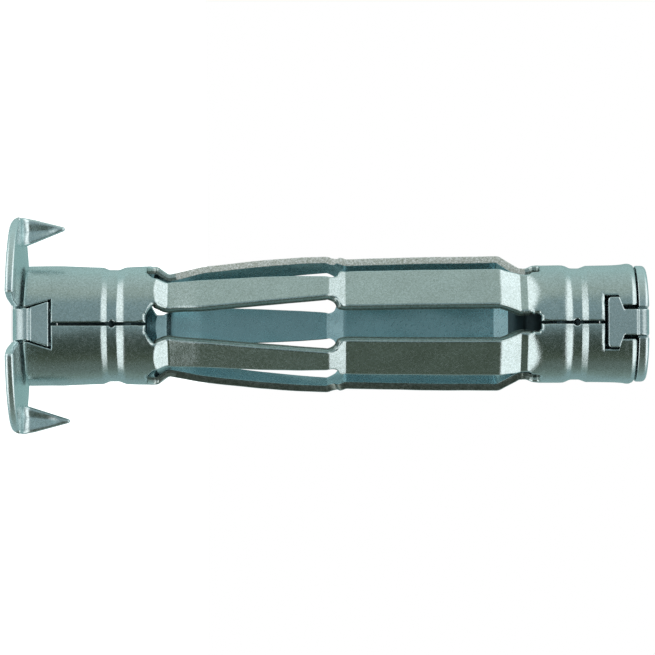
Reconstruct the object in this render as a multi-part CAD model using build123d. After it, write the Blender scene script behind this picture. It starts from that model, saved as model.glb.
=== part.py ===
from build123d import *
import os
import math

# ---------------------------------------------------------------------------
# Hollow wall anchor for an M6 screw, 65 mm long.
# Frame: the anchor stands on the outer face of its flange (Z = 0), its axis
# is +Z, the tapped end plate is at the top.  The seam of the sleeve and the
# first pair of tabs face -Y, the second pair of tabs +Y, the spikes are at +-X.
# All dimensions in mm.
# ---------------------------------------------------------------------------

TOTAL_LENGTH = 65.0

# sleeve: rolled sheet with five legs
SLEEVE_T = 0.75            # sheet thickness
SLEEVE_Z0 = 1.40           # end next to the flange
SLEEVE_Z1 = 63.70          # end next to the end plate
NECK_END_Z = 15.10         # neck wall runs to here between the keyholes
TAIL_START_Z = 53.25       # end tube wall starts here
# outer radius of the neck and of the end tube along Z, grooves included
NECK_PROFILE = [(1.40, 6.08), (1.65, 6.15), (5.0, 6.17), (8.2, 6.03), (9.35, 6.00), (9.95, 5.75),
                (10.90, 5.75), (11.60, 6.03), (13.0, 6.09), (15.10, 6.11)]
TAIL_PROFILE = [(53.25, 6.03), (56.60, 6.04), (57.20, 5.73), (58.15, 5.73), (58.85, 5.99), (61.9, 6.04),
                (62.90, 6.17), (63.25, 6.17), (63.70, 6.00)]
SEAM_GAP = 0.24            # open butt seam
SEAM_DOT_R = 0.34          # the seam opens where the grooves are rolled
GROOVE_Z = (10.42, 57.68)

# legs: flat strips, (Z, distance of the outer face from the axis)
LEG_COUNT = 5
LEG_FACE = [(13.2, 5.93), (14.75, 5.93), (16.05, 5.02), (19.2, 5.66), (25.4, 6.44), (29.5, 6.82),
            (32.25, 6.97), (34.25, 6.28), (41.85, 6.46), (49.85, 6.53), (52.00, 5.30),
            (52.65, 5.30), (53.70, 5.88), (55.2, 5.88)]
LEG_BEND_R = 0.35          # inside radius of the leg bends
# (Z, half width of a leg)
LEG_HALF_WIDTH = [(13.2, 1.24), (15.6, 1.24), (16.30, 1.78), (19.2, 1.56), (25.4, 1.41), (29.5, 1.27),
                  (32.30, 1.10), (33.15, 1.45), (34.05, 2.14), (34.60, 2.22), (50.2, 2.25), (55.2, 2.25)]

# openings cut through the sleeve, given as (half width, Z)
KEYHOLE = [(0.95, 13.50), (2.42, 14.30), (2.42, 15.45), (1.47, 16.30)]
SLOT_END = [(1.30, 52.40), (1.12, 53.10), (1.12, 54.05)]
SLOT_CORNER_R = 0.35

# flange plate
FLANGE_T = 0.90
FLANGE_R = 11.2
SCREW_HOLE_R = 3.3         # clearance hole for M6
RIM_NOTCH_HALF = 3.1
FLANGE_TAB_FACE = 5.95     # outer face of the dovetail tab from the axis
FLANGE_TAB_END_Z = 4.05
FLANGE_TAB_ROOT_HALF = 1.62
FLANGE_TAB_END_HALF = 2.30
FLANGE_TAB_NECK_Z = 1.90   # flanks start to open out here
FLANGE_TAB_BEND_R = 0.50
TAB_END_GAP = 0.22

# spikes, folded up out of the flange
SPIKE_ROOT_INNER = 8.2
SPIKE_TIP_X = 9.78
SPIKE_TIP_HALF = 0.20
SPIKE_TIP_Z = {-1: 5.35, 1: 5.85}
SPIKE_BEND_R = 0.60
SPIKE_FACE_Y = 0.45        # far face of the spike

# end plate with the M6 thread
NUT_T = 1.10
NUT_R = 5.97
NUT_EDGE_R = 0.45
NUT_TAB_FACE = 5.92
NUT_TAB_BEND_R = 0.40
NUT_TAB_END_Z = 60.80
NUT_TAB_HEAD_HALF = 2.58
NUT_TAB_NECK_HALF = 1.32
NUT_TAB_SHOULDER_Z = (61.95, 62.45)   # at the head's side, at the neck
NUT_SLOT_NECK_HALF = 1.74
NUT_SLOT_SIDE_GAP = 0.16
NUT_SLOT_END_GAP = 0.26
THREAD_BORE_R = 2.5        # core hole of the M6 thread
COLLAR_R = 3.75            # drawn collar that carries the thread
COLLAR_END_Z = 61.40
RELIEF = 0.22              # relief slits beside the folded tab


def bent_section(points, thickness, bend_r):
    """Section of a folded sheet.

    points is the outline of one face as (a, z); the sheet lies to the side
    that is left of the direction of travel turned by -90 degrees, which is
    the side of smaller a when z grows.  Returns a face in the YZ plane with
    Y = -a.
    """
    p = [Vector(a, z, 0) for a, z in points]
    n = len(p)
    dirs = [(p[i + 1] - p[i]).normalized() for i in range(n - 1)]
    norm = [Vector(-d.Y, d.X, 0) for d in dirs]           # to the left of travel

    def offset_point(i, dist):
        if i == 0:
            return p[0] + norm[0] * dist
        if i == n - 1:
            return p[-1] + norm[-1] * dist
        m = (norm[i - 1] + norm[i]).normalized()
        return p[i] + m * (dist / m.dot(norm[i]))

    def line(dist):
        """points and arcs of the line offset by dist"""
        out = []
        for i in range(n):
            v = offset_point(i, dist)
            if i in (0, n - 1):
                out.append(("p", v))
                continue
            turn = dirs[i - 1].X * dirs[i].Y - dirs[i - 1].Y * dirs[i].X
            ang = math.acos(max(-1.0, min(1.0, dirs[i - 1].dot(dirs[i]))))
            if ang < math.radians(4):
                out.append(("p", v))
                continue
            towards_sheet = turn > 0
            if towards_sheet:
                r = bend_r + thickness - dist
            else:
                r = bend_r + dist
            tl = r * math.tan(ang / 2)
            a0 = v - dirs[i - 1] * tl
            a1 = v + dirs[i] * tl
            bis = (dirs[i] - dirs[i - 1]).normalized()
            centre = v + bis * (r / math.cos(ang / 2))
            mid = centre - bis * r
            out.append(("a", a0, mid, a1))
        return out

    def place(v):
        return Vector(0, -v.X, v.Y)

    outer = line(0.0)
    inner = line(thickness)
    edges = []

    def run(items):
        last = None
        for it in items:
            if it[0] == "p":
                if last is not None:
                    edges.append(Edge.make_line(place(last), place(it[1])))
                last = it[1]
            else:
                edges.append(Edge.make_line(place(last), place(it[1])))
                edges.append(Edge.make_three_point_arc(place(it[1]), place(it[2]), place(it[3])))
                last = it[3]
        return last

    end_outer = run(outer)
    end_inner = inner[-1][1]
    edges.append(Edge.make_line(place(end_outer), place(end_inner)))
    back = []
    for it in reversed(inner):
        back.append(it if it[0] == "p" else ("a", it[3], it[2], it[1]))
    last = run(back)
    edges.append(Edge.make_line(place(last), place(outer[0][1])))
    return Face(Wire(edges))


def folded_strip(points, thickness, bend_r, half):
    """folded sheet facing -Y, wide in X"""
    f = bent_section(points, thickness, bend_r).moved(Location((-half, 0, 0)))
    return extrude(f, amount=2 * half, dir=(1, 0, 0))


def prism_y(outline, y0, y1, corner_r=0.0):
    """outline as (x, z), extruded along Y from y0 to y1"""
    pl = Plane(origin=(0, y1, 0), x_dir=(1, 0, 0), z_dir=(0, -1, 0))
    sk = make_face(Polyline(*[(x, z) for x, z in outline], close=True))
    if corner_r > 0:
        sk = fillet(sk.vertices(), corner_r)
    return extrude(pl * sk, amount=y1 - y0)


def mirror_outline(side):
    """closed outline from a list of (half width, z) running up one side"""
    return [(h, z) for h, z in side] + [(-h, z) for h, z in reversed(side)]


# ------------------------------------------------------------------ sleeve
def tube(profile):
    outer = [(r, z) for z, r in profile]
    inner = [(r - SLEEVE_T, z) for z, r in profile]
    sk = make_face(Polyline(*(outer + inner[::-1]), close=True))
    return revolve(Plane.XZ * sk, axis=Axis.Z)


sleeve = tube(NECK_PROFILE) + tube(TAIL_PROFILE)

# the legs never stand outside the tube ends where they join them
envelope = make_face(Polyline((0, 12.0), (6.09, 12.0), (6.09, 16.4), (9.5, 16.4), (9.5, 52.1), (6.03, 52.1),
                              (6.03, 56.0), (0, 56.0), close=True))
envelope = revolve(Plane.XZ * envelope, axis=Axis.Z)

leg = folded_strip([(a, z) for z, a in LEG_FACE], SLEEVE_T, LEG_BEND_R, 3.0)
leg = leg & prism_y(mirror_outline([(h, z) for z, h in LEG_HALF_WIDTH]), -9.0, -3.0)
leg = leg & envelope
for k in range(LEG_COUNT):
    sleeve += Rot(0, 0, 36 + 72 * k) * leg

# keyholes and rounded slot ends, one between each pair of legs
for k in range(LEG_COUNT):
    turn = Rot(0, 0, 72 * k)
    sleeve -= turn * prism_y(mirror_outline(KEYHOLE), -8.0, -2.0, SLOT_CORNER_R)
    sleeve -= turn * prism_y(mirror_outline(SLOT_END), -8.0, -2.0, SLOT_CORNER_R)

# butt seam and the two spots where the grooves open it
sleeve -= Pos(0, -5.5, (SLEEVE_Z0 + 14.0) / 2) * Box(SEAM_GAP, 3.0, 14.0 - SLEEVE_Z0)
sleeve -= Pos(0, -5.5, (53.8 + 61.0) / 2) * Box(SEAM_GAP, 3.0, 61.0 - 53.8)
for z in GROOVE_Z:
    sleeve -= Pos(0, -5.5, z) * Rot(90, 0, 0) * Cylinder(SEAM_DOT_R, 3.0)

# dovetail notches for the flange tabs, flanks flush with the tabs' flanks
slope = (FLANGE_TAB_END_HALF - FLANGE_TAB_ROOT_HALF) / (FLANGE_TAB_END_Z - FLANGE_TAB_NECK_Z)
notch_end_z = FLANGE_TAB_END_Z + TAB_END_GAP
dovetail = [(FLANGE_TAB_ROOT_HALF + 0.12, SLEEVE_Z0 - 0.5),
            (FLANGE_TAB_ROOT_HALF + 0.12, FLANGE_TAB_NECK_Z + 0.12 / slope),
            (FLANGE_TAB_END_HALF + slope * TAB_END_GAP, notch_end_z)]
# T notches for the end plate tabs, the hooks bear on the tabs' shoulders
sh0, sh1 = NUT_TAB_SHOULDER_Z
k_sh = (sh1 - sh0) / (NUT_TAB_HEAD_HALF - NUT_TAB_NECK_HALF)
tee = [(NUT_TAB_HEAD_HALF + NUT_SLOT_SIDE_GAP, NUT_TAB_END_Z - NUT_SLOT_END_GAP),
       (NUT_TAB_HEAD_HALF + NUT_SLOT_SIDE_GAP, sh0 - k_sh * NUT_SLOT_SIDE_GAP),
       (NUT_SLOT_NECK_HALF, sh1 - k_sh * (NUT_SLOT_NECK_HALF - NUT_TAB_NECK_HALF)),
       (NUT_SLOT_NECK_HALF, SLEEVE_Z1 + 0.5)]
for turn in (Rot(0, 0, 0), Rot(0, 0, 180)):
    sleeve -= turn * prism_y(mirror_outline(dovetail), -8.0, -2.0)
    sleeve -= turn * prism_y(mirror_outline(tee), -8.0, -2.0)

# ------------------------------------------------------------ flange plate
disc = Pos(0, 0, FLANGE_T / 2) * Cylinder(FLANGE_R, FLANGE_T)
disc = fillet(disc.edges().filter_by(GeomType.CIRCLE).group_by(Axis.Z)[0], 0.35)

bend_start = FLANGE_TAB_FACE - (FLANGE_TAB_BEND_R + FLANGE_T)
rim_notch = [(-RIM_NOTCH_HALF - 0.25, -13.0), (-RIM_NOTCH_HALF, -10.6), (-2.35, -8.6), (-1.74, -6.9),
             (-1.74, -bend_start), (1.74, -bend_start), (1.74, -6.9), (2.35, -8.6),
             (RIM_NOTCH_HALF, -10.6), (RIM_NOTCH_HALF + 0.25, -13.0)]
rim_cut = extrude(make_face(Polyline(*rim_notch, close=True)), amount=3.0)
rim_cut = Pos(0, 0, -1.0) * rim_cut
flange = disc - rim_cut - Rot(0, 0, 180) * rim_cut

# dovetail tab: plate edge, bend, tab pointing along the sleeve
tab_path = [(bend_start - 0.3, 0.0), (FLANGE_TAB_FACE, 0.0), (FLANGE_TAB_FACE, FLANGE_TAB_END_Z)]
tab = folded_strip(tab_path, FLANGE_T, FLANGE_TAB_BEND_R, 3.0)
tab_outline = [(FLANGE_TAB_ROOT_HALF, -0.5), (FLANGE_TAB_ROOT_HALF, FLANGE_TAB_NECK_Z),
               (FLANGE_TAB_END_HALF, FLANGE_TAB_END_Z), (FLANGE_TAB_END_HALF, FLANGE_TAB_END_Z + 0.5)]
tab = tab & prism_y(mirror_outline(tab_outline), -9.0, -3.0)
flange += tab
flange += Rot(0, 0, 180) * tab

# spikes: the sheet comes from the -Y side and turns up at the spike
for side in (-1, 1):
    tip_z = SPIKE_TIP_Z[side]
    start_y = SPIKE_FACE_Y - (SPIKE_BEND_R + FLANGE_T)
    flat_tip_y = start_y + (SPIKE_BEND_R + FLANGE_T / 2) * math.pi / 2 + tip_z - SPIKE_BEND_R - FLANGE_T
    # the piece of plate the spike was folded out of
    wedge = [(SPIKE_ROOT_INNER, start_y), (SPIKE_ROOT_INNER, SPIKE_FACE_Y), (SPIKE_TIP_X - 0.1, flat_tip_y),
             (SPIKE_TIP_X + 0.4, flat_tip_y + 0.35), (13.0, flat_tip_y + 0.35), (13.0, start_y)]
    wedge = [(side * x, y) for x, y in wedge]
    cut = Pos(0, 0, -1.0) * extrude(make_face(Polyline(*wedge, close=True)), amount=3.0)
    flange -= cut
    path = [(-(start_y - 0.3), 0.0), (-SPIKE_FACE_Y, 0.0), (-SPIKE_FACE_Y, tip_z)]
    # outline of the spike in XZ, root as wide as the plate it comes from
    rim_x = math.sqrt(FLANGE_R ** 2 - start_y ** 2) - 0.02
    outline = [(SPIKE_ROOT_INNER, -0.5), (rim_x, -0.5), (rim_x, 0.95), (SPIKE_TIP_X + SPIKE_TIP_HALF, tip_z),
               (SPIKE_TIP_X - SPIKE_TIP_HALF, tip_z), (SPIKE_ROOT_INNER, 1.35)]
    outline = [(side * x, z) for x, z in outline]
    # same folding as a strip, travelling the other way so the sheet lies inside the bend
    pts = [(a, z) for a, z in path]
    spike_face = bent_section([(-a, z) for a, z in pts], FLANGE_T, SPIKE_BEND_R)
    spike = extrude(spike_face.moved(Location((-13, 0, 0))), amount=26, dir=(1, 0, 0)).mirror(Plane.XZ)
    spike = spike & prism_y(outline, -4.0, 4.0)
    flange += spike

flange -= Pos(0, 0, FLANGE_T / 2) * Cylinder(SCREW_HOLE_R, 3.0)

# --------------------------------------------------------------- end plate
plate = Pos(0, 0, TOTAL_LENGTH - NUT_T / 2) * Cylinder(NUT_R, NUT_T)
plate = fillet(plate.edges().filter_by(GeomType.CIRCLE).group_by(Axis.Z)[-1], NUT_EDGE_R)
nut_bend_start = NUT_TAB_FACE - (NUT_TAB_BEND_R + NUT_T)
half = NUT_TAB_NECK_HALF + RELIEF
for turn in (Rot(0, 0, 0), Rot(0, 0, 180)):
    plate -= turn * Pos(0, -(nut_bend_start + 3.0), TOTAL_LENGTH - NUT_T / 2) * Box(2 * half, 6.0, 4.0)
# T tab folded down from the plate
nut_path = [(NUT_TAB_FACE, NUT_TAB_END_Z), (NUT_TAB_FACE, TOTAL_LENGTH), (nut_bend_start - 0.3, TOTAL_LENGTH)]
nut_tab = folded_strip(nut_path, NUT_T, NUT_TAB_BEND_R, 4.0)
head = fillet(make_face(Polyline(*mirror_outline([(NUT_TAB_HEAD_HALF, NUT_TAB_END_Z),
                                                  (NUT_TAB_HEAD_HALF, sh0), (NUT_TAB_NECK_HALF, sh1),
                                                  (NUT_TAB_NECK_HALF, TOTAL_LENGTH + 0.5)]), close=True))
              .vertices().group_by(Axis.Y)[0], 0.45)
head_pl = Plane(origin=(0, -3.0, 0), x_dir=(1, 0, 0), z_dir=(0, -1, 0))
nut_tab = nut_tab & extrude(head_pl * head, amount=6.0)
plate += nut_tab
plate += Rot(0, 0, 180) * nut_tab
# drawn collar with the core hole of the thread
plate += Pos(0, 0, (TOTAL_LENGTH - 0.5 + COLLAR_END_Z) / 2) * Cylinder(COLLAR_R, TOTAL_LENGTH - 0.5 - COLLAR_END_Z)
plate -= Pos(0, 0, 62.5) * Cylinder(THREAD_BORE_R, 12.0)

# ------------------------------------------------------------------ output
os.makedirs("parts", exist_ok=True)
export_step(sleeve, "parts/sleeve.step")
export_step(flange, "parts/flange_plate.step")
export_step(plate, "parts/nut_plate.step")
for name, solid in (("sleeve", sleeve), ("flange_plate", flange), ("nut_plate", plate)):
    bb = solid.bounding_box()
    print(name, len(solid.solids()), "solids", round(solid.volume, 2), "mm3", bb.min, bb.max)
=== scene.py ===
import bpy
import bmesh
import math
import numpy as np
from mathutils import Vector, Matrix


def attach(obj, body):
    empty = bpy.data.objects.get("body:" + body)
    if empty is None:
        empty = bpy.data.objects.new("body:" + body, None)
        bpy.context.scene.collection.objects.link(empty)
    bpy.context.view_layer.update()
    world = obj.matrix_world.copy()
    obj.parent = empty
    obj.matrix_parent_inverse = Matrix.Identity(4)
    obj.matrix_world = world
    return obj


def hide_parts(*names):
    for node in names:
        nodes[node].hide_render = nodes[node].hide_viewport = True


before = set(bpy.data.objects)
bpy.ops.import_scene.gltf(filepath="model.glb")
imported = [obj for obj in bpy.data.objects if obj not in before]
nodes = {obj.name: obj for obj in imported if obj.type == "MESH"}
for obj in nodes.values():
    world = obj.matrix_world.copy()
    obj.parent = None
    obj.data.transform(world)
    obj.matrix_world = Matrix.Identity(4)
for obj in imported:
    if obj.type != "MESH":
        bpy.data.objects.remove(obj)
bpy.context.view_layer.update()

MM = 0.001

scene = bpy.context.scene


# ----------------------------------------------------------------- helpers
def link(obj):
    scene.collection.objects.link(obj)
    return obj


def filleted(points, radii, step_deg=6.0):
    """dense polyline through points with an arc of the given radius at each inner vertex"""
    out = [points[0]]
    for i in range(1, len(points) - 1):
        p0, p1, p2 = (np.array(points[j], float) for j in (i - 1, i, i + 1))
        d0 = (p1 - p0) / np.linalg.norm(p1 - p0)
        d1 = (p2 - p1) / np.linalg.norm(p2 - p1)
        ang = math.acos(max(-1.0, min(1.0, float(d0 @ d1))))
        r = radii[i - 1]
        if ang < 1e-3 or r <= 0:
            out.append(tuple(p1))
            continue
        tl = min(r * math.tan(ang / 2), 0.48 * np.linalg.norm(p1 - p0), 0.48 * np.linalg.norm(p2 - p1))
        r = tl / math.tan(ang / 2)
        a0, a1 = p1 - d0 * tl, p1 + d1 * tl
        bis = (d1 - d0) / np.linalg.norm(d1 - d0)
        c = p1 + bis * (r / math.cos(ang / 2))
        n = max(2, int(math.degrees(ang) / step_deg) + 1)
        v0, v1 = a0 - c, a1 - c
        for k in range(n + 1):
            f = k / n
            w0, w1 = math.sin((1 - f) * ang), math.sin(f * ang)
            v = (v0 * w0 + v1 * w1) / math.sin(ang)
            out.append(tuple(c + v))
    out.append(points[-1])
    return out


def smoothstep(a, b, x):
    t = min(1.0, max(0.0, (x - a) / (b - a)))
    return t * t * (3 - 2 * t)


# ------------------------------------------------------------ sleeve shape
T = 0.82
NECK = [(1.56, 6.08), (1.63, 6.13), (1.84, 6.155), (5.2, 6.17), (8.0, 6.03), (9.30, 6.00), (9.95, 5.74),
        (10.90, 5.74), (11.65, 6.03), (13.0, 6.09), (15.6, 6.11)]
TAIL = [(52.0, 6.03), (56.55, 6.05), (57.22, 5.72), (58.15, 5.72), (58.85, 5.99), (61.7, 6.04),
        (62.60, 6.10), (63.00, 6.18), (63.30, 6.17), (63.62, 6.02), (63.70, 5.94)]
NECK_D = filleted(NECK, [0.05, 0.1, 2, 3, 0.9, 0.35, 0.35, 0.9, 3, 3][: len(NECK) - 2])
TAIL_D = filleted(TAIL, [3, 0.9, 0.35, 0.35, 0.9, 3, 1.2, 0.5, 0.25, 0.05][: len(TAIL) - 2])
FACE = [(13.6, 6.85), (14.62, 6.14), (16.08, 5.02), (19.2, 5.66), (25.4, 6.44), (29.5, 6.82), (32.35, 6.99),
        (34.22, 6.27), (41.85, 6.46), (49.95, 6.54), (52.02, 5.28), (52.70, 5.30), (54.9, 6.55)]
FACE_D = filleted(FACE, [1.1, 0.40, 10, 10, 5, 1.10, 0.35, 10, 1.10, 0.35, 0.35])


def table(dense):
    z = np.array([p[0] for p in dense])
    v = np.array([p[1] for p in dense])
    return lambda x: float(np.interp(x, z, v))


r_neck, r_tail, a_face = table(NECK_D), table(TAIL_D), table(FACE_D)
HALF = filleted([(15.0, 1.70), (15.75, 1.68), (16.35, 1.70), (17.3, 1.64), (19.2, 1.56), (25.4, 1.41), (29.5, 1.28),
                 (32.75, 1.09), (33.36, 1.34), (33.62, 2.14), (34.9, 2.23), (50.6, 2.26), (52.1, 2.44),
                 (53.2, 2.52), (56.0, 2.52)],
                [0.3, 0.5, 0.6, 3, 3, 3, 1.0, 1.0, 0.5, 2, 3, 3, 0.3])
half_w = table(HALF)

# angular half width of a leg's sector of the sheet, 36 degrees where the tube is closed
KEY = filleted([(13.86, 0.92), (14.10, 1.45), (14.52, 2.06), (15.4, 2.12)], [0.4, 0.5])
key_w = table(KEY)
FULL = 36.0
KEY_Z = 13.86


def smin(a, b, k):
    h = max(k - abs(a - b), 0.0) / k
    return min(a, b) - h * h * k * 0.25


# small differences from leg to leg, as hand-sized sheet work has
LEGS = {  # name: (centre, shift, twist, width in the narrow half, width in the wide half, face offset)
    "L0": (36.0, -1.8, 3.0, 1.02, 0.94, 0.00),
    "L1": (108.0, 0.5, 5.0, 1.00, 1.00, -0.09),
    "L2": (180.0, 0.9, 0.0, 1.24, 1.04, 0.00),
    "L3": (252.0, 0.0, -7.0, 1.02, 1.02, 0.04),
    "L4": (324.0, 2.9, -4.0, 1.16, 1.02, 0.02),
}


def leg_pose(leg, z):
    """centre angle, normal angle, face distance and half width of a leg at height z"""
    c, shift, twist, w1, w2, off = LEGS[leg]
    win = smoothstep(16.2, 20.0, z) * (1 - smoothstep(49.5, 52.0, z))
    wid = w1 + (w2 - w1) * smoothstep(31.5, 35.0, z)
    wid = 1.0 + (wid - 1.0) * win
    if leg == "L2":
        wid *= 0.74 + 0.26 * smoothstep(15.6, 16.5, z)
    sh = shift * (1 - 0.45 * smoothstep(32.0, 35.0, z)) if leg == "L4" else shift
    tw = twist * (1 - 0.6 * smoothstep(32.0, 35.0, z))
    return c + sh * win, c + (sh + tw) * win, a_face(z) + off * win, half_w(z) * wid


def rho(leg, th, z):
    cm, cn, a, h = leg_pose(leg, z)
    d = math.radians(th - cn)
    plane = a * math.cos(math.radians(cn - cm)) / max(0.2, math.cos(d))
    if z < 16.3:
        return smin(r_neck(z), plane, 0.16) if z > 12.9 else r_neck(z)
    if z > 52.3:
        return smin(r_tail(z), plane, 0.42) if z < 55.9 else r_tail(z)
    return plane


def seam_half(z):
    """half opening at the seam line: dovetail notch, seam, T notch"""
    if z <= 4.30:
        return 1.62 + 0.20 if z < 1.9 else 1.82 + (z - 1.9) * 0.316
    if z < 60.46:
        base = 0.135 + 0.02 * smoothstep(1.0, 0.0, abs(z - 8.8) / 4.0)
        for zg in (10.42, 57.68):
            if abs(z - zg) < 0.34:
                base = max(base, math.sqrt(0.34 ** 2 - (z - zg) ** 2))
        return base
    if z <= 61.90:
        return 2.80
    if z < 62.24:
        return 2.80 + (z - 61.90) / (62.24 - 61.90) * (1.76 - 2.80)
    return 1.76


def leg_edge_angle(leg, z, sign):
    """angle of the leg's cut edge; None where the sheet runs on into the next sector"""
    c = LEGS[leg][0]
    if z < KEY_Z or z > 54.05:
        return None
    if z < 15.1:
        r = r_neck(z)
        rear = leg == "L2"
        by_key = 36.0 - math.degrees(math.asin(key_w(z) * (1.19 if rear else 1.0) / r))
        by_leg = math.degrees(math.atan(half_w(z) * (0.74 if rear else 1.0) / min(6.0, a_face(z))))
        w = smoothstep(14.5, 15.1, z)
        return c + sign * (by_key * (1 - w) + by_leg * w)
    if z > 52.9:
        x = 0.96 if z < 53.75 else 0.96 - 0.26 * ((z - 53.75) / 0.30) ** 2.2
        by_slot = 36.0 - math.degrees(math.asin(x / 6.02))
        cm, cn, a, h = leg_pose(leg, min(z, 53.2))
        by_leg = math.degrees(math.atan(h / min(a, 5.75)))
        w = smoothstep(52.9, 53.4, z)
        return c + sign * (by_leg + (by_slot - by_leg) * w)
    cm, cn, a, h = leg_pose(leg, z)
    nx, nt = math.radians(cm), math.radians(cn)
    p = np.array([a * math.sin(nx), -a * math.cos(nx)]) + sign * h * np.array([math.cos(nt), math.sin(nt)])
    th = math.degrees(math.atan2(p[0], -p[1]))
    while th < c - 180:
        th += 360
    while th > c + 180:
        th -= 360
    return th


# name, leg, left boundary angle and kind, right boundary angle and kind, columns
SECTORS = [
    ("L0", 0.0, "seam", 72.0, "slot", 12),
    ("L1", 72.0, "slot", 144.0, "slot", 12),
    ("L2", 144.0, "slot", 180.0, "mid", 6),
    ("L2", 180.0, "mid", 216.0, "slot", 6),
    ("L3", 216.0, "slot", 288.0, "slot", 12),
    ("L4", 288.0, "slot", 360.0, "seam", 12),
]


def side(leg, ang, kind, z, sign):
    """(edge angle, is joined) for the sector side at height z; sign is +1 for the right side"""
    if kind == "slot":
        e = leg_edge_angle(leg, z, sign)
        return (ang, True) if e is None else (e, False)
    if kind == "mid":
        if z <= 4.12 or z >= 60.70:
            x = seam_half(z)
            return ang - sign * math.degrees(math.asin(x / 6.1)), False
        return ang, True
    e = leg_edge_angle(leg, z, sign)
    if e is not None:
        return e, False
    r = r_neck(z) if z < 30 else r_tail(z)
    return ang - sign * math.degrees(math.asin(min(0.9, seam_half(z) / r))), False


def zrows():
    rows = []

    def add(a, b, step):
        n = max(1, int(round((b - a) / step)))
        rows.extend(a + (b - a) * i / n for i in range(n))

    add(1.56, 1.88, 0.08)
    add(1.88, 4.10, 0.37)
    add(4.10, 4.29, 0.09)
    rows.extend([4.296, 4.304, 4.325, 4.36, 4.41, 4.47])
    rows.extend([4.116, 4.124, 60.696, 60.704])
    add(4.55, 9.2, 0.60)
    add(9.2, 11.9, 0.10)
    add(11.9, 13.40, 0.5)
    rows.extend([13.46, 13.52, 13.59, 13.66, 13.73, 13.79, 13.83, 13.855])
    add(13.865, 14.40, 0.05)
    add(14.40, 16.9, 0.085)
    add(16.9, 31.6, 0.62)
    add(31.6, 34.9, 0.085)
    add(34.9, 49.1, 0.75)
    add(49.1, 54.04, 0.095)
    rows.extend([54.047, 54.055, 54.08, 54.12, 54.17, 54.24, 54.31, 54.38, 54.44])
    add(54.55, 56.4, 0.3)
    add(56.4, 59.1, 0.10)
    add(59.1, 60.45, 0.4)
    rows.extend([60.40, 60.43, 60.45, 60.456, 60.464, 60.50])
    add(60.53, 61.88, 0.45)
    rows.extend([61.895, 61.905])
    add(61.98, 62.22, 0.06)
    rows.extend([62.235, 62.245])
    add(62.40, 63.56, 0.12)
    add(63.56, 63.7001, 0.035)
    rows.append(63.70)
    return sorted(rows)


# (angle of the opening's middle, half width of its flat end, Z of the end, +1 when the opening lies above, roll-over)
ENDS = [(72.0 * k, 0.90, KEY_Z, 1, 0.40) for k in range(6)] + [(72.0 * k, 0.66, 54.051, -1, 0.38) for k in range(6)]
ENDS += [(0.0, 2.50, 4.30, -1, 0.16), (180.0, 2.50, 4.12, -1, 0.16), (360.0, 2.50, 4.30, -1, 0.16)]
ENDS += [(0.0, 2.80, 60.46, 1, 0.16), (180.0, 2.80, 60.70, 1, 0.16), (360.0, 2.80, 60.46, 1, 0.16)]


def rolled(th, z, r):
    """how far the outer skin drops near a square end of an opening"""
    low = 0.0
    if not (13.4 < z < 13.9 or 54.0 < z < 54.5 or 4.0 < z < 4.6 or 60.2 < z < 60.8):
        return low
    for c, half, ze, way, edge in ENDS:
        d = (ze - z) * way
        if -0.02 <= d < edge:
            x = abs(math.radians(th - c)) * r - half
            if x < edge:
                q = math.hypot(max(0.0, d), max(0.0, x)) if x > 0 else max(0.0, d)
                if q < edge:
                    low = max(low, 0.72 * (edge - math.sqrt(max(0.0, edge ** 2 - (edge - q) ** 2))))
    return low


def roll_width(z):
    """how far the punched edge is rolled over, wide round the keyholes and slot ends"""
    w = 0.17 + 0.23 * smoothstep(16.5, 15.5, z) * smoothstep(13.2, 13.5, z)
    w += 0.04 * smoothstep(16.6, 18.0, z) * smoothstep(52.0, 50.5, z)
    return w + 0.21 * smoothstep(51.6, 53.0, z) * smoothstep(54.8, 54.2, z)


def wear(th, z):
    """tiny unevenness of the rolled sheet"""
    return (0.012 * math.sin(0.21 * th + 0.9 * z) + 0.010 * math.sin(0.13 * th - 0.55 * z + 1.3)
            + 0.008 * math.sin(1.9 * z + 0.05 * th))


def columns(kl, kr):
    """fractions across a sector, close together beside an opening"""
    d = 0.0215 if (kl, kr) != ("mid", "slot") and (kl, kr) != ("slot", "mid") else 0.043
    left = [i * d for i in range(8)] if kl != "mid" else [0.0]
    right = [1.0 - i * d for i in range(8)] if kr != "mid" else [1.0]
    a0, b0 = left[-1], right[-1]
    k = 7 if d < 0.03 else 4
    return left + [a0 + (b0 - a0) * i / k for i in range(1, k)] + right[::-1]


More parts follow.
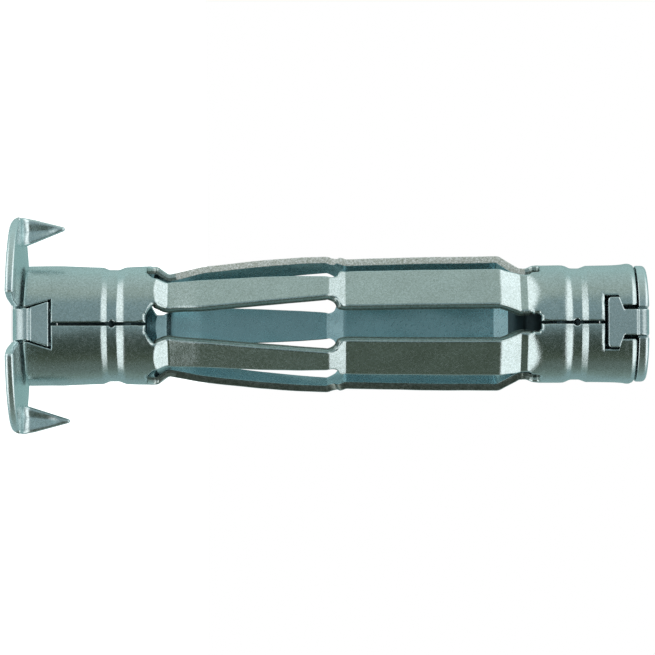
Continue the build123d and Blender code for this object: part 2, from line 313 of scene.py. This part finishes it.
def build_sleeve():
    verts, faces, mats, norms = [], [], [], []

    def skin(leg, th, z):
        r = rho(leg, th, z)
        low = rolled(th, z, r)
        r0 = r + wear(th, z) * 0.6
        a = math.radians(th)
        s_, c_ = math.sin(a), -math.cos(a)
        return np.array([r0 * s_, r0 * c_, z]), np.array([(r0 - low) * s_, (r0 - low) * c_, z]), low

    def cross(a, b):
        n = np.array([a[1] * b[2] - a[2] * b[1], a[2] * b[0] - a[0] * b[2], a[0] * b[1] - a[1] * b[0]])
        return n / math.sqrt(float(n @ n))

    zs = zrows()
    ni = 6
    for leg, angl, kl, angr, kr, _ in SECTORS:
        fr = columns(kl, kr)
        n = len(fr) - 1
        loops = []
        for z in zs:
            tl, jl = side(leg, angl, kl, z, -1)
            tr, jr = side(leg, angr, kr, z, +1)
            rr = rho(leg, tr, z)
            rl = rho(leg, tl, z)
            ew = roll_width(z)
            ed = min(0.26, ew * 0.78)
            wr, wl = (0.0 if jr else ew), (0.0 if jl else ew)
            er, el = (0.0 if jr else ed), (0.0 if jl else ed)
            ei_r, ei_l = (0.0 if jr else 0.07), (0.0 if jl else 0.07)

            def at(th, w, z=z, leg=leg):
                d, dz = 0.25, 0.02
                th_c = min(max(th, tl), tr)
                p, q, low = skin(leg, th_c, z)
                pa, pb = skin(leg, th_c + d, z), skin(leg, th_c - d, z)
                pc, pd = skin(leg, th_c, z + dz), skin(leg, th_c, z - dz)
                n0 = cross(pa[0] - pb[0], pc[0] - pd[0])
                n1 = cross(pa[1] - pb[1], pc[1] - pd[1]) if low > 0 and w == 0.0 else n0
                return p - n0 * (w + low * max(0.0, 1 - w / (0.45 * T))), n1, n0

            dl, dr = math.degrees(wl / rl), math.degrees(wr / rr)
            il, ir = math.degrees(ei_l / rl), math.degrees(ei_r / rr)
            outer = [(tl + dl + (tr - dr - tl - dl) * f, 0.0) for f in fr]
            bend = (0.40, 0.85, 1.25, math.pi / 2)
            corner_ro = [(tr - dr * (1 - math.sin(a)), er * (1 - math.cos(a))) for a in bend]
            wall_r = [(tr, T * 0.50), (tr, T * 0.58)]
            corner_ri = [(tr - ir * (1 - math.cos(a)), T - ei_r * (1 - math.sin(a))) for a in (0.0, 0.8)]
            inner = [(tr - ir + (tl + il - tr + ir) * i / ni, T) for i in range(ni + 1)]
            corner_li = [(tl + il * (1 - math.cos(a)), T - ei_l * (1 - math.sin(a))) for a in (0.8, 0.0)]
            wall_l = [(tl, T * 0.58), (tl, T * 0.50)]
            corner_lo = [(tl + dl * (1 - math.sin(a)), el * (1 - math.cos(a))) for a in bend[::-1]]
            ring = outer + corner_ro + wall_r + corner_ri + inner + corner_li + wall_l + corner_lo
            i_ro = n
            i_ri = n + 9
            i_li = i_ri + ni
            base = len(verts)
            for q, (th, w) in enumerate(ring):
                p, n1, n0 = at(th, w)
                verts.append(p * MM)
                if q <= n:
                    norms.append(n1)
                elif i_ri <= q <= i_li:
                    norms.append(-n0)
                else:
                    norms.append(n0 * 0.0)
            loops.append((base, jl, jr))
        m = len(ring)
        # the top leg (L3) has its cut wall painted near white as a highlight
        edge_mat = {"L3": 5}.get(leg, 1)
        for k in range(len(zs) - 1):
            b0, jl0, jr0 = loops[k]
            b1, jl1, jr1 = loops[k + 1]
            zm = 0.5 * (zs[k] + zs[k + 1])
            closed = zm < 13.30 or zm > 54.3
            for i in range(m):
                j = (i + 1) % m
                right_wall = i_ro <= i < i_ri
                left_wall = i >= i_li
                if right_wall and jr0 and jr1:
                    continue
                if left_wall and jl0 and jl1:
                    continue
                faces.append((b0 + i, b0 + j, b1 + j, b1 + i))
                em = edge_mat if 16.6 < zm < 52.6 else 1
                if right_wall:
                    q = ((0, 0, 5, 5, 5, 5, 5, 5, 2) if em == 5 else (0, 0, 0, 1, 1, 1, 3, 3, 2))[i - i_ro]
                    # cut walls inside the closed tube ends take the near-black painted shade
                    if closed and q in (1, 3):
                        q = 4
                elif left_wall:
                    # the bottom leg (L1) has its whole cut wall painted dark as shade
                    em = 3 if leg == "L1" and 16.6 < zm < 52.6 else 1
                    q = (2, 3, 3, em, em, em, 0, 0, 0)[i - i_li]
                    # cut walls inside the closed tube ends take the near-black painted shade
                    if closed and q in (1, 3):
                        q = 4
                else:
                    inside = i_ri <= i < i_li
                    # inner faces take the painted-shade inside material
                    q = 2 if inside else 0
                    # inner faces of the closed tube ends take the near-black painted shade
                    if inside and (zm < 13.30 or zm > 51.6):
                        q = 4
                mats.append(q)
        # end faces of the tube
        for (b, jl, jr), flip in ((loops[0], True), (loops[-1], False)):
            idx = list(range(0, n + 1))
            idx += list(range(n + 1, i_ri)) if not jr else []
            idx += list(range(i_ri, i_li + 1))
            idx += list(range(i_li + 1, m)) if not jl else []
            faces.append(tuple(b + x for x in (idx if flip else idx[::-1])))
            mats.append(1)
    me = bpy.data.meshes.new("sleeve_sheet")
    me.from_pydata([tuple(v) for v in verts], [], faces)
    me.validate()
    me.polygons.foreach_set("material_index", mats[: len(me.polygons)])
    att = me.attributes.new("skin", "FLOAT_VECTOR", "POINT")
    att.data.foreach_set("vector", np.array(norms, float).ravel())
    bm = bmesh.new()
    bm.from_mesh(me)
    bmesh.ops.remove_doubles(bm, verts=bm.verts, dist=2e-7)
    loose = [v for v in bm.verts if not v.link_faces]
    bmesh.ops.delete(bm, geom=loose, context="VERTS")
    bmesh.ops.recalc_face_normals(bm, faces=bm.faces)
    bm.to_mesh(me)
    bm.free()
    me.shade_smooth()
    # flat skins keep the sheet's own normal, rolled edges the mesh's, steps their face's
    nv, nf = len(me.vertices), len(me.polygons)
    skin = np.zeros(nv * 3)
    me.attributes["skin"].data.foreach_get("vector", skin)
    skin = skin.reshape(-1, 3)
    nl = len(me.loops)
    vi = np.zeros(nl, int)
    me.loops.foreach_get("vertex_index", vi)
    start, total, area = np.zeros(nf, int), np.zeros(nf, int), np.zeros(nf)
    me.polygons.foreach_get("loop_start", start)
    me.polygons.foreach_get("loop_total", total)
    me.polygons.foreach_get("area", area)
    fn = np.zeros(nf * 3)
    me.polygons.foreach_get("normal", fn)
    fn = fn.reshape(-1, 3)
    fi = np.repeat(np.arange(nf), total)
    mean = np.zeros((nv, 3))
    for c in range(3):
        mean[:, c] = np.bincount(vi, weights=(fn[fi, c] * np.sqrt(area[fi])), minlength=nv)
    mean /= np.maximum(np.linalg.norm(mean, axis=1, keepdims=True), 1e-12)
    has = np.linalg.norm(skin, axis=1) > 0.5
    vn = np.where(has[:, None], skin, mean)
    ln = vn[vi]
    bad = (ln * fn[fi]).sum(1) < 0.45
    ln[bad] = fn[fi][bad]
    me.attributes.remove(me.attributes["skin"])
    me.normals_split_custom_set(ln.tolist())
    return link(bpy.data.objects.new("sleeve_sheet", me))



# ------------------------------------------------------------ pressed plates
def smin_a(a, b, k):
    h = np.maximum(k - np.abs(a - b), 0.0) / k
    return np.minimum(a, b) - h * h * k * 0.25


def smax_a(a, b, k):
    return -smin_a(-a, -b, k)


def sstep(a, b, x):
    t = np.clip((x - a) / (b - a), 0.0, 1.0)
    return t * t * (3 - 2 * t)


def corner(a, b):
    """distance outside the quarter plane a<0, b<0"""
    return np.hypot(np.maximum(a, 0), np.maximum(b, 0)) + np.minimum(np.maximum(a, b), 0)


F_T, F_R = 0.90, 11.2
DISH = 0.32


def flange_sdf(x, y, z):
    r = np.hypot(x, y)
    ay = np.abs(y)
    ax = np.abs(x)
    zd = z - DISH * (1.0 - sstep(6.6, 9.6, r))
    # disc, rounded rim, rounder still at the spikes
    low_k = 0.42 + 1.00 * np.exp(-(y / 2.6) ** 2)
    body = smax_a(zd - F_T, r - F_R, 0.34)
    body = smax_a(body, -zd, 0.0001 + np.where(r > 9.0, low_k, 0.05))
    # rim notches beside the dovetail tabs
    half = np.interp(ay, [4.55, 6.9, 8.6, 10.6, 13.0], [1.74, 1.80, 2.35, 3.05, 3.40])
    body = smax_a(body, -np.maximum(ax - half, 4.55 - ay), 0.38)
    # plate cut away behind each spike, where its sheet came from
    for sd in (-1.0, 1.0):
        tip = 5.35 if sd < 0 else 5.85
        ye = -1.05 + 1.649 + tip - 1.5
        lx = np.interp(y, [0.45, ye, ye + 0.35], [8.2, 9.68, 10.25])
        cut = np.maximum(np.maximum(lx - sd * x, y - ye - 0.35), -1.05 - y)
        body = smax_a(body, -cut, 0.16)
    # spikes: bent strip, far face at y = 0.45, cupped near face
    for sd in (-1.0, 1.0):
        tip = 5.35 if sd < 0 else 5.85
        q = corner(y + 1.05, 1.5 - z)
        q2 = corner(y + 1.45, 1.9 - z)
        tx = 9.98 if sd < 0 else 9.80
        u = sd * x
        line = tx - 0.28 + (z - 2.4) * 0.09
        cup = 0.24 * np.exp(-((u - line) / (0.62 - 0.09 * np.clip(z - 1.5, 0, 4))) ** 2) * sstep(0.7, 1.7, z) * (1 - sstep(3.4, 5.0, z))
        strip = np.maximum(q - 1.5, 1.0 + cup - q2)
        inner = (np.interp(z, [-0.5, 1.35, tip], [8.2, 8.2, tx - 0.16]) - u) * 0.94
        outer = (u - np.interp(z, [-0.5, 0.9, 2.2, tip], [11.17, 11.17, 10.93, tx + 0.16])) * 0.96
        spike = smax_a(smax_a(strip, inner, 0.34), outer, 0.40)
        spike = smax_a(spike, z - tip, 0.20)
        spike = np.maximum(spike, -2.6 - y)
        # outer corner of the fold
        spike = smax_a(spike, corner(u - (F_R - 1.25), 1.25 - z) - 1.25, 0.10)
        body = smin_a(body, spike, 0.22)
        body = smax_a(body, np.where(u > 6.0, corner(u - (F_R - 1.25), 1.25 - z) - 1.25 - 0.35 * sstep(1.6, 3.6, ay), -9.0), 0.12)
    # dovetail tabs
    q = corner(ay - 4.55, 1.4 + DISH - z)
    crease = 0.16 * np.exp(-((z - 2.06) / 0.11) ** 2) + 0.03 * sstep(2.08, 2.2, z)
    tab = np.maximum(q - (1.4 - crease), 0.5 - q)
    hw = np.interp(z, [0.0, 1.95, 4.05], [1.60, 1.64, 2.32])
    tab = smax_a(tab, (ax - hw) * 0.95, 0.16)
    tab = smax_a(tab, z - 4.05, 0.16)
    tab = np.maximum(tab, 4.2 - ay)
    body = smin_a(body, tab, 0.10)
    body = np.maximum(body, -z)
    return smax_a(body, 3.3 - r, 0.20)


N_T, TOTAL = 1.10, 65.0


def end_plate_sdf(x, y, z):
    r = np.hypot(x, y)
    ay = np.abs(y)
    ax = np.abs(x)
    body = smax_a(z - TOTAL, r - 5.96, 0.55)
    body = smax_a(body, (TOTAL - N_T) - z, 0.18)
    body = smax_a(body, -np.maximum(ax - 1.54, 4.42 - ay), 0.16)
    # T tabs
    q = corner(ay - 5.02, z - 64.1)
    crease = 0.09 * np.exp(-((z - 63.86) / 0.09) ** 2)
    tab = np.maximum(q - (0.9 - crease), -np.maximum(ay - 4.82, z - 63.9))
    tab = np.maximum(tab, 4.1 - ay)
    head = np.interp(z, [60.8, 61.95, 62.45], [2.58, 2.58, 1.32])
    tab = smax_a(tab, np.where(z < 62.45, ax - head, ax - 1.32) * np.where((z > 61.9) & (z < 62.5), 0.45, 1.0), 0.14)
    tab = smax_a(tab, corner(ax - (2.58 - 0.42), 61.22 - z) - 0.42, 0.14)
    body = smin_a(body, tab, 0.08)
    # drawn collar
    collar = smax_a(r - 3.75, 61.40 - z, 0.25)
    collar = np.maximum(collar, z - TOTAL + 0.30)
    body = smin_a(body, collar, 0.30)
    body = np.maximum(body, z - TOTAL)
    # thread, pitch 1 mm
    u = np.mod(z - np.arctan2(y, x) / (2 * math.pi), 1.0) - 0.5
    deep = np.clip((0.375 - np.abs(u)) * 1.6, 0.0, 0.46)
    mouth = 0.45 * (1 - sstep(0.0, 0.5, TOTAL - z)) + 0.40 * (1 - sstep(0.0, 0.4, z - 61.4))
    bore = (2.5 + np.maximum(deep, mouth) - r) * 0.75
    return smax_a(body, bore, 0.05)


def skin_of(name, fn, box_lo, box_hi, h):
    """mesh of the surface fn = 0, corners in mm"""
    ax = [np.arange(a, b + h, h) for a, b in zip(box_lo, box_hi)]
    nx, ny, nz = (len(a) for a in ax)
    f = np.empty((nx, ny, nz), np.float32)
    for i in range(0, nx, 24):
        gx, gy, gz = np.meshgrid(ax[0][i:i + 24], ax[1], ax[2], indexing="ij")
        f[i:i + 24] = fn(gx, gy, gz)
    s = f < 0
    cnt = np.zeros((nx - 1, ny - 1, nz - 1), np.int8)
    offs = [(a, b, c) for a in (0, 1) for b in (0, 1) for c in (0, 1)]
    for a, b, c in offs:
        cnt += s[a:nx - 1 + a, b:ny - 1 + b, c:nz - 1 + c]
    act = (cnt > 0) & (cnt < 8)
    ci, cj, ck = np.nonzero(act)
    idx = np.full(act.shape, -1, np.int64)
    idx[act] = np.arange(len(ci))
    pos = np.zeros((len(ci), 3))
    wt = np.zeros(len(ci))
    for axis in range(3):
        for u in (0, 1):
            for v in (0, 1):
                o = [0, 0, 0]
                o[(axis + 1) % 3] = u
                o[(axis + 2) % 3] = v
                p = list(o)
                p[axis] = 1
                f0 = f[ci + o[0], cj + o[1], ck + o[2]].astype(float)
                f1 = f[ci + p[0], cj + p[1], ck + p[2]].astype(float)
                hit = (f0 < 0) != (f1 < 0)
                t = np.where(hit, f0 / np.where(hit, f0 - f1, 1.0), 0.0)
                pt = np.zeros((len(ci), 3))
                for d in range(3):
                    pt[:, d] = o[d]
                pt[:, axis] = t
                pos += pt * hit[:, None]
                wt += hit
    pos /= wt[:, None]
    v = np.stack([ax[0][ci] + pos[:, 0] * h, ax[1][cj] + pos[:, 1] * h, ax[2][ck] + pos[:, 2] * h], 1)

    def grad(p, e):
        g = np.empty_like(p)
        for d in range(3):
            q0, q1 = p.copy(), p.copy()
            q0[:, d] -= e
            q1[:, d] += e
            g[:, d] = (fn(*q1.T) - fn(*q0.T)) / (2 * e)
        return g

    for _ in range(2):
        g = grad(v, 0.02)
        step = fn(*v.T)[:, None] * g / np.maximum((g * g).sum(1, keepdims=True), 0.2)
        v -= np.clip(step, -0.5 * h, 0.5 * h)
    faces = []
    for axis in range(3):
        b, c = (axis + 1) % 3, (axis + 2) % 3
        sl0 = [slice(None)] * 3
        sl1 = [slice(None)] * 3
        sl0[axis], sl1[axis] = slice(0, -1), slice(1, None)
        for k in (b, c):
            sl0[k] = sl1[k] = slice(1, -1)
        s0, s1 = s[tuple(sl0)], s[tuple(sl1)]
        e = np.nonzero(s0 != s1)
        inside = s0[e]
        base = [None] * 3
        base[axis] = e[axis]
        base[b] = e[b] + 1
        base[c] = e[c] + 1

        def cell(db, dc):
            q = list(base)
            q[b] = q[b] - db
            q[c] = q[c] - dc
            return idx[q[0], q[1], q[2]]

        quad = np.stack([cell(1, 1), cell(0, 1), cell(0, 0), cell(1, 0)], 1)
        quad[~inside] = quad[~inside][:, ::-1]
        faces.append(quad)
    faces = np.concatenate(faces)
    me = bpy.data.meshes.new(name)
    me.from_pydata((v * MM).tolist(), [], faces.tolist())
    me.validate()
    me.shade_smooth()
    n = grad(v, 0.03)
    n /= np.maximum(np.linalg.norm(n, axis=1, keepdims=True), 1e-9)
    me.normals_split_custom_set_from_vertices(n.tolist())
    return link(bpy.data.objects.new(name, me))


# --------------------------------------------------------------- materials
def zinc(name, light=1.0, rough=0.30, mottle=1.0, tint=(0.63, 0.77, 0.785), metal=1.0):
    mat = bpy.data.materials.new(name)
    mat.use_nodes = True
    nt = mat.node_tree
    nt.nodes.clear()
    out = nt.nodes.new("ShaderNodeOutputMaterial")
    bs = nt.nodes.new("ShaderNodeBsdfPrincipled")
    nt.links.new(bs.outputs[0], out.inputs[0])
    bs.inputs["Metallic"].default_value = metal
    tc = nt.nodes.new("ShaderNodeTexCoord")

    def noise(scale, detail, roughness=0.55, stretch=(1, 1, 1)):
        mp = nt.nodes.new("ShaderNodeMapping")
        mp.inputs["Scale"].default_value = stretch
        nt.links.new(tc.outputs["Object"], mp.inputs[0])
        nz = nt.nodes.new("ShaderNodeTexNoise")
        nz.inputs["Scale"].default_value = scale
        nz.inputs["Detail"].default_value = detail
        nz.inputs["Roughness"].default_value = roughness
        nt.links.new(mp.outputs[0], nz.inputs["Vector"])
        return nz.outputs["Fac"]

    def ramp(src, stops):
        r = nt.nodes.new("ShaderNodeValToRGB")
        e = r.color_ramp.elements
        while len(e) < len(stops):
            e.new(0.5)
        for el, (p, c) in zip(e, stops):
            el.position = p
            el.color = (*c, 1.0) if len(c) == 3 else c
        nt.links.new(src, r.inputs[0])
        return r.outputs[0]

    def mul(a, b):
        m = nt.nodes.new("ShaderNodeMix")
        m.data_type = "RGBA"
        m.blend_type = "MULTIPLY"
        m.inputs[0].default_value = 1.0
        nt.links.new(a, m.inputs[6])
        nt.links.new(b, m.inputs[7])
        return m.outputs[2]

    t = [c * light for c in tint]
    cloud = ramp(noise(260.0, 2.0), [(0.30, tuple(c * 0.95 for c in t)), (0.70, tuple(min(1, c * 1.05) for c in t))])
    g = 0.085 * mottle
    spangle = ramp(noise(5200.0, 3.0, 0.7), [(0.36, (1 - 2.0 * g, 1 - 1.9 * g, 1 - 2.2 * g)), (0.62, (1.0, 1.0, 1.0))])
    grain = ramp(noise(9500.0, 2.0, 0.6), [(0.36, (1 - g * 1.6, 1 - g * 1.5, 1 - g * 1.6)), (0.62, (1.0, 1.0, 1.0))])
    nt.links.new(mul(mul(cloud, spangle), grain), bs.inputs["Base Color"])
    rr = ramp(noise(3200.0, 3.0), [(0.3, (rough - 0.04,) * 3), (0.7, (rough + 0.08,) * 3)])
    nt.links.new(rr, bs.inputs["Roughness"])
    b1 = nt.nodes.new("ShaderNodeBump")
    b1.inputs["Strength"].default_value = min(1.0, 0.42 * mottle)
    b1.inputs["Distance"].default_value = 0.000022
    nt.links.new(noise(6200.0, 3.0, 0.62), b1.inputs["Height"])
    b2 = nt.nodes.new("ShaderNodeBump")
    b2.inputs["Strength"].default_value = 0.22
    b2.inputs["Distance"].default_value = 0.00012
    nt.links.new(noise(230.0, 2.0), b2.inputs["Height"])
    nt.links.new(b1.outputs[0], b2.inputs["Normal"])
    nt.links.new(b2.outputs[0], bs.inputs["Normal"])
    return mat


m_sleeve = zinc("zinc_sleeve_mat", 1.0, 0.22, 1.45)
m_edge = zinc("zinc_cut_edge", 1.0, 0.30, 1.5, (0.58, 0.70, 0.69))
# inner faces: the same zinc made darker and bluer, painted shade for the dimmer inside of the tube
m_inside_painted_shade = zinc("zinc_inside_painted_shade", 1.0, 0.22, 0.12, (0.37, 0.57, 0.61))
# darker rough fracture band of the cut edges, and painted shade where it covers the whole bottom leg's cut wall
m_torn_and_shade = zinc("zinc_torn_edge_and_painted_shade", 1.0, 0.36, 2.4, (0.27, 0.33, 0.31))
# near-black zinc: painted shade for the unlit inside of the closed tube ends
m_painted_shade_deep = zinc("zinc_painted_shade_deep_inside", 1.0, 0.45, 0.4, (0.075, 0.115, 0.125))
# near-white, barely metallic zinc: painted highlight on the top leg's cut edge
m_painted_highlight_edge = zinc("zinc_edge_painted_highlight", 1.0, 0.50, 3.0, (0.92, 0.99, 0.97), metal=0.05)
m_flange = zinc("zinc_flange_mat", 1.0, 0.27, 1.0, (0.71, 0.86, 0.88))
m_nut = zinc("zinc_end_plate_mat", 1.0, 0.25, 1.0, (0.68, 0.82, 0.84))

sleeve = build_sleeve()
for mat in (m_sleeve, m_edge, m_inside_painted_shade, m_torn_and_shade, m_painted_shade_deep, m_painted_highlight_edge):
    sleeve.data.materials.append(mat)
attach(sleeve, "root")
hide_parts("sleeve")


def paint_shade_inside(ob, test):
    """faces that look into the closed tube take painted shade, a near-black zinc standing in for the dark inside"""
    ob.data.materials.append(m_painted_shade_deep)
    me = ob.data
    c = np.zeros(len(me.polygons) * 3)
    me.polygons.foreach_get("center", c)
    c = c.reshape(-1, 3) / MM
    me.polygons.foreach_set("material_index", test(c[:, 0], c[:, 1], c[:, 2]).astype(np.int32))


flange = skin_of("flange_sheet", flange_sdf, (-11.45, -11.45, -0.25), (11.45, 11.45, 6.15), 0.11)
flange.data.materials.append(m_flange)
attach(flange, "root")
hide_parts("flange_plate")
# inner faces of the dovetail tabs take painted shade
paint_shade_inside(flange, lambda x, y, z: (np.hypot(x, y) < 5.3) & (z > 1.6))

nut = skin_of("end_plate_sheet", end_plate_sdf, (-6.25, -6.25, 60.55), (6.25, 6.25, 65.25), 0.095)
nut.data.materials.append(m_nut)
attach(nut, "root")
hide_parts("nut_plate")
# end plate faces inside the tube take painted shade
paint_shade_inside(nut, lambda x, y, z: (np.hypot(x, y) < 5.2) & (np.hypot(x, y) > 3.3) & (z < 63.95))

# ---------------------------------------------------------------- stage
def pale_floor():
    """pale sweep, part of the light tent: white to the eye, and what the metal mirrors is the tent itself"""
    mat = bpy.data.materials.new("pale_floor")
    mat.use_nodes = True
    nt = mat.node_tree
    nt.nodes.clear()
    out = nt.nodes.new("ShaderNodeOutputMaterial")
    mix = nt.nodes.new("ShaderNodeMixShader")
    lp = nt.nodes.new("ShaderNodeLightPath")
    nt.links.new(lp.outputs["Is Camera Ray"], mix.inputs[0])
    seen = nt.nodes.new("ShaderNodeBsdfPrincipled")
    seen.inputs["Base Color"].default_value = (0.85, 0.85, 0.85, 1)
    seen.inputs["Roughness"].default_value = 0.9
    seen.inputs["Emission Color"].default_value = (1, 1, 1, 1)
    seen.inputs["Emission Strength"].default_value = 0.80
    clear = nt.nodes.new("ShaderNodeBsdfTransparent")
    nt.links.new(clear.outputs[0], mix.inputs[1])
    nt.links.new(seen.outputs[0], mix.inputs[2])
    nt.links.new(mix.outputs[0], out.inputs[0])
    return mat


me = bpy.data.meshes.new("floor")
bm = bmesh.new()
bmesh.ops.create_circle(bm, cap_ends=True, segments=96, radius=0.60)
bm.to_mesh(me)
bm.free()
floor = link(bpy.data.objects.new("floor", me))
floor.location = (0, 0, -0.00002)
me.materials.append(pale_floor())

# world: light tent, brighter towards -X and overhead, white behind the object
world = bpy.data.worlds.new("studio")
scene.world = world
world.use_nodes = True
nt = world.node_tree
nt.nodes.clear()
wo = nt.nodes.new("ShaderNodeOutputWorld")
bg = nt.nodes.new("ShaderNodeBackground")
nt.links.new(bg.outputs[0], wo.inputs[0])
tc = nt.nodes.new("ShaderNodeTexCoord")
sep = nt.nodes.new("ShaderNodeSeparateXYZ")
nt.links.new(tc.outputs["Generated"], sep.inputs[0])


def wramp(src, lo_v, hi_v, stops):
    mr = nt.nodes.new("ShaderNodeMapRange")
    mr.inputs["From Min"].default_value = lo_v
    mr.inputs["From Max"].default_value = hi_v
    nt.links.new(src, mr.inputs["Value"])
    r = nt.nodes.new("ShaderNodeValToRGB")
    r.color_ramp.interpolation = "EASE"
    e = r.color_ramp.elements
    while len(e) < len(stops):
        e.new(0.5)
    for el, (p, c) in zip(e, stops):
        el.position = p
        el.color = (*c, 1.0)
    nt.links.new(mr.outputs[0], r.inputs[0])
    return r.outputs[0]


def wmix(kind, a, b, fac=1.0):
    m = nt.nodes.new("ShaderNodeMix")
    m.data_type = "RGBA"
    m.blend_type = kind
    if isinstance(fac, float):
        m.inputs[0].default_value = fac
    else:
        nt.links.new(fac, m.inputs[0])
    nt.links.new(a, m.inputs[6])
    nt.links.new(b, m.inputs[7])
    return m.outputs[2]


def grey(v, tint=(1, 1, 1)):
    return tuple(v * c for c in tint)


side_x = wramp(sep.outputs["X"], -1.0, 1.0, [
    (0.00, (0.54, 0.60, 0.58)), (0.035, (0.50, 0.54, 0.50)), (0.17, (0.29, 0.365, 0.385)), (0.52, (0.27, 0.335, 0.35)),
    (0.60, (0.17, 0.21, 0.21)), (0.70, (0.075, 0.095, 0.085)), (0.90, (0.055, 0.070, 0.052)), (0.97, (0.09, 0.105, 0.075)),
    (1.00, (0.17, 0.20, 0.18))])
back_x = wramp(sep.outputs["X"], -1.0, 1.0, [
    (0.00, (0.56, 0.64, 0.62)), (0.11, (0.52, 0.66, 0.65)), (0.50, (0.28, 0.44, 0.43)), (0.84, (0.33, 0.44, 0.45)),
    (0.95, (0.26, 0.32, 0.29)), (1.00, (0.17, 0.20, 0.18))])
to_back = wramp(sep.outputs["Y"], -1.0, 1.0, [(0.46, grey(0.0)), (0.58, grey(1.0))])
horiz = wmix("MIX", side_x, back_x, to_back)
ends = wramp(sep.outputs["Z"], -1.0, 1.0, [(0.0, grey(1.0)), (0.21, grey(1.0)), (0.31, grey(0.0)), (0.69, grey(0.0)), (0.79, grey(1.0)), (1.0, grey(1.0))])
front = wramp(sep.outputs["Y"], -1.0, 1.0, [(0.0, grey(1.0)), (0.32, grey(1.0)), (0.46, grey(0.10)), (1.0, grey(0.0))])
flank = wramp(sep.outputs["X"], -1.0, 1.0, [(0.0, grey(1.0)), (0.22, grey(1.0)), (0.38, grey(0.0)), (0.62, grey(0.0)), (0.78, grey(1.0)), (1.0, grey(1.0))])
not_back = wramp(sep.outputs["Y"], -1.0, 1.0, [(0.0, grey(1.0)), (0.60, grey(1.0)), (0.72, grey(0.0)), (1.0, grey(0.0))])
middle = wramp(sep.outputs["X"], -1.0, 1.0, [(0.0, grey(1.0)), (0.41, grey(1.0)), (0.455, grey(0.36)), (0.545, grey(0.36)), (0.59, grey(1.0)), (1.0, grey(1.0))])
up = wmix("MULTIPLY", wmix("MULTIPLY", ends, middle), wmix("LIGHTEN", front, wmix("MULTIPLY", flank, not_back)))
white = nt.nodes.new("ShaderNodeRGB")
white.outputs[0].default_value = (1.52, 1.46, 1.46, 1)
tent = wmix("MIX", horiz, white.outputs[0], up)
# plain white to the eye
lp = nt.nodes.new("ShaderNodeLightPath")
clear = nt.nodes.new("ShaderNodeRGB")
clear.outputs[0].default_value = (1.0, 1.0, 1.0, 1)
tent = wmix("MIX", tent, clear.outputs[0], lp.outputs["Is Camera Ray"])
nt.links.new(tent, bg.inputs[0])
bg.inputs[1].default_value = 1.0

# --------------------------------------------------------------- camera
ROLL = math.radians(1.8)
TILT = math.radians(0.22)
D = 373.4 * MM
cam_d = bpy.data.cameras.new("cam")
cam = link(bpy.data.objects.new("cam", cam_d))
cam_d.sensor_width = 36.0
cam_d.lens = 3627.0 / 655.0 * 36.0
cam_d.clip_start = 0.01
cam_d.clip_end = 10.0
back = Vector((math.sin(ROLL), -math.cos(ROLL), 0))
up0 = Vector((-math.cos(ROLL), -math.sin(ROLL), 0))
zax = Vector((0, 0, 1))
right = math.cos(TILT) * zax - math.sin(TILT) * up0
upv = math.sin(TILT) * zax + math.cos(TILT) * up0
rot = Matrix((right, upv, back)).transposed()
cam.matrix_world = Matrix.Translation(back * D + zax * (32.33 * MM) - up0 * (0.278 * MM)) @ rot.to_4x4()
scene.camera = cam
scene.view_settings.view_transform = "Standard"
scene.view_settings.look = "None"
